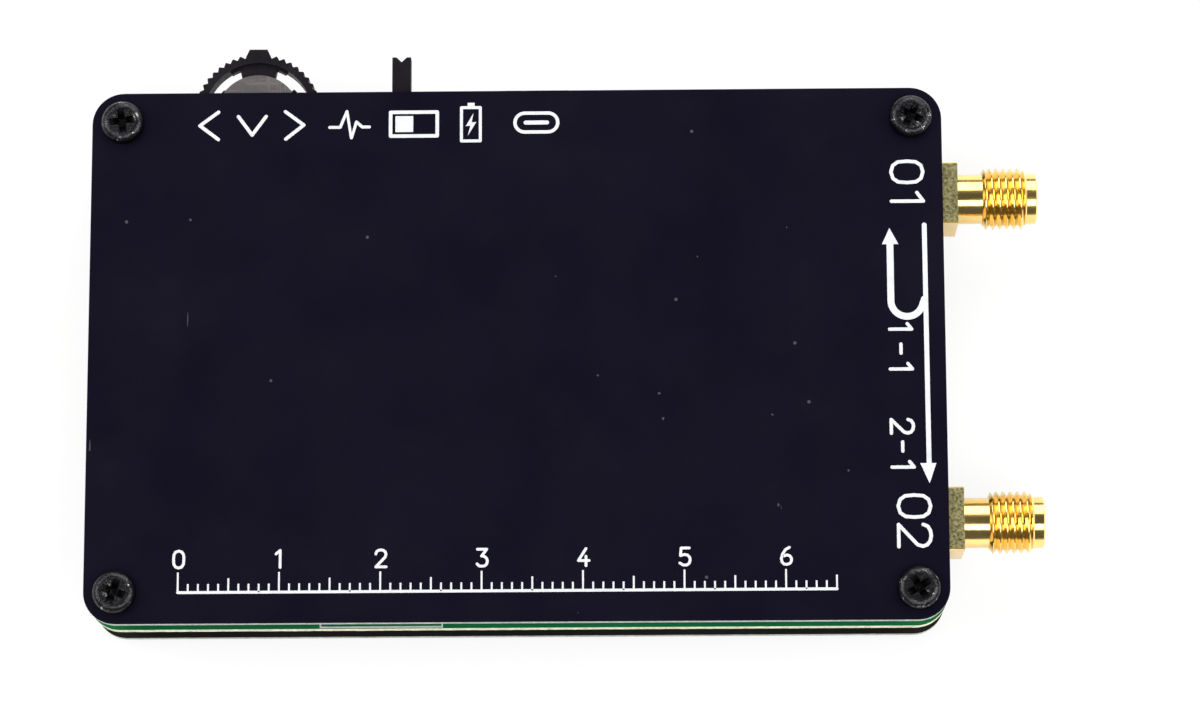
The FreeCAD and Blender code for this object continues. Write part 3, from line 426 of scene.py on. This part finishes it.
def outline(points, width, closed):
    """The outline of a pen stroke along points, with round ends and outer corners.

    A closed stroke gives its two sides, and an open one a single loop.
    """
    half = width / 2
    size = len(points)
    legs = []
    for index in range(size if closed else size - 1):
        here, after = Vector(points[index]), Vector(points[(index + 1) % size])
        legs.append((after - here).normalized())

    def side(hand):
        made = []
        for index in range(size):
            here = Vector(points[index])
            before = legs[index - 1] if index or closed else None
            after = legs[index % len(legs)] if index < size - 1 or closed else None
            if before is None or after is None:
                leg = after or before
                made.append(here + Vector((-leg.y, leg.x)) * half * hand)
                continue
            turn = before.x * after.y - before.y * after.x
            first = Vector((-before.y, before.x)) * hand
            last = Vector((-after.y, after.x)) * hand
            if turn * hand < -STRAIGHT:
                angle = first.angle_signed(last)
                steps = max(1, int(abs(angle) / CORNER_STEP))
                for step in range(steps + 1):
                    made.append(here + Matrix.Rotation(-angle * step / steps, 2) @ first * half)
            else:
                middle = (first + last).normalized()
                made.append(here + middle * half / max(MITRE_LIMIT, middle.dot(first)))
        return made

    def cap(centre, direction):
        start = math.atan2(direction.y, direction.x) + math.pi / 2
        turns = [start - math.pi * step / CAP_STEPS for step in range(1, CAP_STEPS)]
        return [Vector(centre) + Vector((math.cos(turn), math.sin(turn))) * half for turn in turns]

    left, right = side(1), side(-1)
    if closed:
        return left + left[:1], right + right[:1]
    return left + cap(points[-1], legs[-1]) + right[::-1] + cap(points[0], -legs[0])


# Each figure is a list of strokes in a box 0.6 wide and 1 high: their points, and whether closed.
FIGURE_STEP = 0.92
FIGURES = {
    "0": [([(0.3, 1.0), (0.12, 0.94), (0.02, 0.78), (0.0, 0.5), (0.02, 0.22), (0.12, 0.06),
            (0.3, 0.0), (0.48, 0.06), (0.58, 0.22), (0.6, 0.5), (0.58, 0.78), (0.48, 0.94)],
           True)],
    "1": [([(0.08, 0.8), (0.32, 1.0), (0.32, 0.0)], False)],
    "2": [([(0.0, 0.76), (0.05, 0.9), (0.17, 0.98), (0.3, 1.0), (0.44, 0.97), (0.55, 0.88),
            (0.59, 0.74), (0.55, 0.58), (0.0, 0.0), (0.6, 0.0)], False)],
    "3": [([(0.02, 1.0), (0.56, 1.0), (0.26, 0.6), (0.42, 0.58), (0.56, 0.46), (0.6, 0.3),
            (0.56, 0.13), (0.44, 0.02), (0.26, 0.0), (0.1, 0.03), (0.0, 0.14)], False)],
    "4": [([(0.44, 1.0), (0.0, 0.3), (0.62, 0.3)], False),
          ([(0.44, 0.55), (0.44, 0.0)], False)],
    "5": [([(0.55, 1.0), (0.08, 1.0), (0.04, 0.56), (0.28, 0.62), (0.46, 0.58), (0.58, 0.44),
            (0.6, 0.28), (0.54, 0.1), (0.4, 0.0), (0.2, 0.0), (0.0, 0.12)], False)],
    "6": [([(0.48, 1.0), (0.26, 0.88), (0.08, 0.62), (0.0, 0.34), (0.04, 0.14), (0.16, 0.02),
            (0.32, 0.0), (0.5, 0.06), (0.59, 0.2), (0.59, 0.36), (0.5, 0.5), (0.34, 0.56),
            (0.16, 0.5)], False)],
    "-": [([(0.1, 0.5), (0.5, 0.5)], False)],
}
# The way a figure's top points, and the way a row of figures is read.
LEVEL = (0.0, 1.0), (1.0, 0.0)
DOWN = (1.0, 0.0), (0.0, -1.0)
DOWN_FROM_FRONT = (-1.0, 0.0), (0.0, -1.0)


class Print:
    """Collects printed strokes and fills as closed, thin raised shapes on one level face."""

    def __init__(self, name, level, up=1, body="chassis"):
        self.name, self.level, self.up, self.body = name, level, up, body
        self.vertices, self.faces = [], []
        self.count = 0

    def fill(self, points):
        """Raises a closed loop of points."""
        points = [Vector(point) for point in points]
        area = sum(a.x * b.y - b.x * a.y for a, b in zip(points, points[1:] + points[:1]))
        if area * self.up < 0:
            points.reverse()
        rise = PRINT_RISE + PRINT_STEP * (self.count % PRINT_LEVELS)
        self.count += 1
        base = len(self.vertices)
        size = len(points)
        for height in (0.0, rise):
            for point in points:
                self.vertices.append(((point.x + SHIFT_X) * MM, (point.y + SHIFT_Y) * MM,
                                      (self.level + self.up * height) * MM))
        self.faces.append([base + index for index in range(size)][::-1])
        self.faces.append([base + size + index for index in range(size)])
        for index in range(size):
            after = (index + 1) % size
            self.faces.append([base + index, base + after, base + size + after,
                               base + size + index])

    def stroke(self, points, width, closed=False):
        """Raises a pen stroke along points."""
        if closed:
            left, right = outline(points, width, True)
            self.fill(left + right[::-1])
        else:
            self.fill(outline(points, width, False))

    def text(self, text, x, y, height, pen, direction, widen=1.0):
        """Plain figures from x, y."""
        top, reading = direction
        for index, figure in enumerate(text):
            for points, closed in FIGURES[figure]:
                placed = []
                for u, v in points:
                    u, v = (u * widen + index * FIGURE_STEP) * height, v * height
                    placed.append((x + u * reading[0] + v * top[0],
                                   y + u * reading[1] + v * top[1]))
                self.stroke(placed, pen, closed)

    def make(self, material):
        mesh = bpy.data.meshes.new(self.name)
        mesh.from_pydata(self.vertices, [], self.faces)
        mesh.materials.append(material)
        made = bpy.data.objects.new(self.name, mesh)
        bpy.context.scene.collection.objects.link(made)
        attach(made, self.body)


def print_controls(ink):
    """The symbols over the jog wheel, lights, power switch and charging socket."""
    marks = Print("printed_controls", REAR_FACE)
    frame_pen, socket_pen, tongue_pen = 0.36, 0.34, 0.42
    left = [(-30.04, 25.00), (-31.90, 23.6), (-30.02, 22.16)]
    press = [(-28.02, 24.52), (-26.62, 22.60), (-25.23, 24.52)]
    right = [(-23.28, 25.00), (-21.42, 23.6), (-23.22, 22.16)]
    for points in (left, press, right):
        marks.stroke(points, PEN)
    pulse = [(-18.80, 23.33), (-17.74, 23.33), (-17.07, 24.98), (-16.6, 22.23), (-16.11, 23.88),
             (-15.53, 23.35), (-14.80, 23.35)]
    marks.stroke(pulse, FINE_PEN)
    marks.stroke(rectangle(-12.66, -7.96, 22.38, 24.85), frame_pen, closed=True)
    marks.fill(rectangle(-12.18, -10.38, 22.79, 24.45))
    marks.stroke(rectangle(-5.52, -3.62, 21.82, 25.28), FINE_PEN, closed=True)
    marks.fill(rectangle(-4.9, -4.2, 25.4, 25.78))
    bolt = [(-4.30, 24.72), (-5.08, 23.36), (-4.62, 23.40), (-4.88, 22.36), (-4.02, 23.78),
            (-4.50, 23.74)]
    marks.fill(bolt)
    socket_y, socket_radius = 23.68, 0.98
    socket = (arc(3.2, socket_y, socket_radius, -90, 90)
              + arc(0.85, socket_y, socket_radius, 90, 270))
    marks.stroke(socket, socket_pen, closed=True)
    marks.stroke([(0.95, socket_y), (3.1, socket_y)], tongue_pen)
    marks.make(ink)


def print_ports(ink):
    """Plain figures at the two ports, and the signal arrows between them."""
    marks = Print("printed_ports", REAR_FACE)
    port_height, path_height = 3.2, 2.2
    path_pen, through_pen = 0.33, 0.48
    marks.text("01", 37.6, 19.38, port_height, PEN, DOWN, widen=1.15)
    marks.text("02", 37.75, -14.6, port_height, PEN, DOWN, widen=1.15)
    marks.text("1-1", 37.2, 2.9, path_height, path_pen, DOWN, widen=1.05)
    marks.text("2-1", 37.2, -7.0, path_height, path_pen, DOWN, widen=1.05)
    marks.stroke([(40.84, 12.8), (40.88, -11.6)], through_pen)
    marks.fill([(40.0, -11.4), (40.9, -13.42), (41.6, -11.4)])
    marks.fill([(36.58, 10.85), (37.34, 12.5), (38.22, 10.85)])
    turn_back = [(37.38, 11.1)] + arc(38.98, 5.05, 1.6, 180, 345) + [(40.72, 5.2)]
    marks.stroke(turn_back, BOLD_PEN)
    marks.make(ink)


def print_scale(ink):
    """A plain millimetre scale along the lower edge."""
    marks = Print("printed_scale", REAR_FACE)
    start, base, length = -33.4, -23.9, 65
    base_pen, half_tick = 0.28, 0.09
    tens_rise, fives_rise, tick_rise = 2.0, 1.4, 0.85
    figure_left, figure_rise, figure_height, figure_pen = 0.45, 2.45, 1.7, 0.27
    marks.stroke([(start, base), (start + length, base)], base_pen)
    for tick in range(length + 1):
        rise = tens_rise if tick % 10 == 0 else fives_rise if tick % 5 == 0 else tick_rise
        x = start + tick
        marks.fill(rectangle(x - half_tick, x + half_tick, base, base + rise))
    for tens in range(length // 10 + 1):
        x = start + tens * 10 - figure_left
        marks.text(str(tens), x, base + figure_rise, figure_height, figure_pen, LEVEL)
    marks.make(ink)


def print_board(ink):
    """The white outline of a part on the green board's lower edge."""
    marks = Print("board_outline", BOARD_FACE)
    board_pen = 0.16
    marks.stroke(rectangle(-19.6, -7.5, -26.85, -22.6), board_pen, closed=True)
    marks.make(ink)


def print_bezel(ink):
    """The ports' plain figures on the display side."""
    marks = Print("bezel_figures", FRONT_FACE, up=-1)
    height = 2.4
    marks.text("01", 36.0, 18.6, height, FINE_PEN, DOWN_FROM_FRONT, widen=1.1)
    marks.text("02", 36.0, -14.6, height, FINE_PEN, DOWN_FROM_FRONT, widen=1.1)
    marks.make(ink)


def set_camera():
    """The photograph's viewpoint: nearly overhead, leaning back from the lower edge."""
    data = bpy.data.cameras.new("camera")
    data.sensor_width = SENSOR_WIDTH
    data.lens = FOCAL_LENGTH
    data.clip_start, data.clip_end = CLIP_NEAR, CLIP_FAR
    camera = bpy.data.objects.new("camera", data)
    x, y, z = CAMERA_PLACE
    place = Matrix.Translation(((x + SHIFT_X) * MM, (y + SHIFT_Y) * MM, (z + REAR_FACE) * MM))
    turn_x, turn_y, turn_z = [Matrix.Rotation(turn, 4, axis)
                              for turn, axis in zip(CAMERA_TURN, "XYZ")]
    camera.matrix_world = place @ (turn_z @ turn_y @ turn_x)
    bpy.context.scene.collection.objects.link(camera)
    bpy.context.scene.camera = camera


def set_surroundings():
    """White to the camera, dim to glossy rays and between the two for the rest."""
    world = bpy.data.worlds.new("studio")
    bpy.context.scene.world = world
    world.use_nodes = True
    nodes, links = world.node_tree.nodes, world.node_tree.links
    back = nodes["Background"]
    back.inputs["Color"].default_value = WHITE
    ray = nodes.new("ShaderNodeLightPath")
    soft = nodes.new("ShaderNodeMapRange")
    soft.inputs["To Min"].default_value = SURROUND
    soft.inputs["To Max"].default_value = SURROUND_GLOSSY
    links.new(ray.outputs["Is Glossy Ray"], soft.inputs["Value"])
    strength = nodes.new("ShaderNodeMapRange")
    strength.inputs["To Max"].default_value = BACKDROP
    links.new(soft.outputs[0], strength.inputs["To Min"])
    links.new(ray.outputs["Is Camera Ray"], strength.inputs["Value"])
    links.new(strength.outputs[0], back.inputs["Strength"])


def floor_white():
    """Matt white that the camera also sees glow, so that only the object's shadow is left."""
    material = bpy.data.materials.new("floor_white")
    material.use_nodes = True
    nodes, links = material.node_tree.nodes, material.node_tree.links
    shader = nodes["Principled BSDF"]
    shader.inputs["Base Color"].default_value = FLOOR_COLOR
    shader.inputs["Roughness"].default_value = FLOOR_ROUGH
    shader.inputs["Specular IOR Level"].default_value = 0.0
    glow = nodes.new("ShaderNodeEmission")
    glow.inputs["Color"].default_value = WHITE
    ray = nodes.new("ShaderNodeLightPath")
    share = nodes.new("ShaderNodeMath")
    share.operation = "MULTIPLY"
    share.inputs[1].default_value = FLOOR_GLOW
    links.new(ray.outputs["Is Camera Ray"], share.inputs[0])
    blend = nodes.new("ShaderNodeMixShader")
    links.new(share.outputs[0], blend.inputs["Fac"])
    links.new(shader.outputs[0], blend.inputs[1])
    links.new(glow.outputs[0], blend.inputs[2])
    links.new(blend.outputs[0], nodes["Material Output"].inputs["Surface"])
    return material


def lay_floor():
    mesh = bpy.data.meshes.new("floor")
    corners = rectangle(-FLOOR_REACH, FLOOR_REACH, -FLOOR_REACH, FLOOR_REACH)
    mesh.from_pydata([(x, y, FLOOR_LEVEL) for x, y in corners], [], [(0, 1, 2, 3)])
    floor = bpy.data.objects.new("floor", mesh)
    bpy.context.scene.collection.objects.link(floor)
    mesh.materials.append(floor_white())


def soft_box(name, place, size, power):
    """A rectangular light aimed at the object."""
    data = bpy.data.lights.new(name, "AREA")
    data.shape = "RECTANGLE"
    data.size, data.size_y = size
    data.energy = power
    light = bpy.data.objects.new(name, data)
    light.location = place
    light.rotation_mode = "QUATERNION"
    light.rotation_quaternion = (Vector(AIM) - Vector(place)).to_track_quat("-Z", "Y")
    bpy.context.scene.collection.objects.link(light)


def set_studio():
    """Even surroundings, a white floor and four soft boxes."""
    bpy.context.scene.view_settings.view_transform = "Standard"
    set_surroundings()
    lay_floor()
    for name, (place, size, power) in SOFT_BOXES.items():
        soft_box(name, place, size, power)


def main():
    set_camera()
    ink = print_ink()
    dress_nodes()
    print_controls(ink)
    print_ports(ink)
    print_scale(ink)
    print_board(ink)
    print_bezel(ink)
    set_studio()


main()
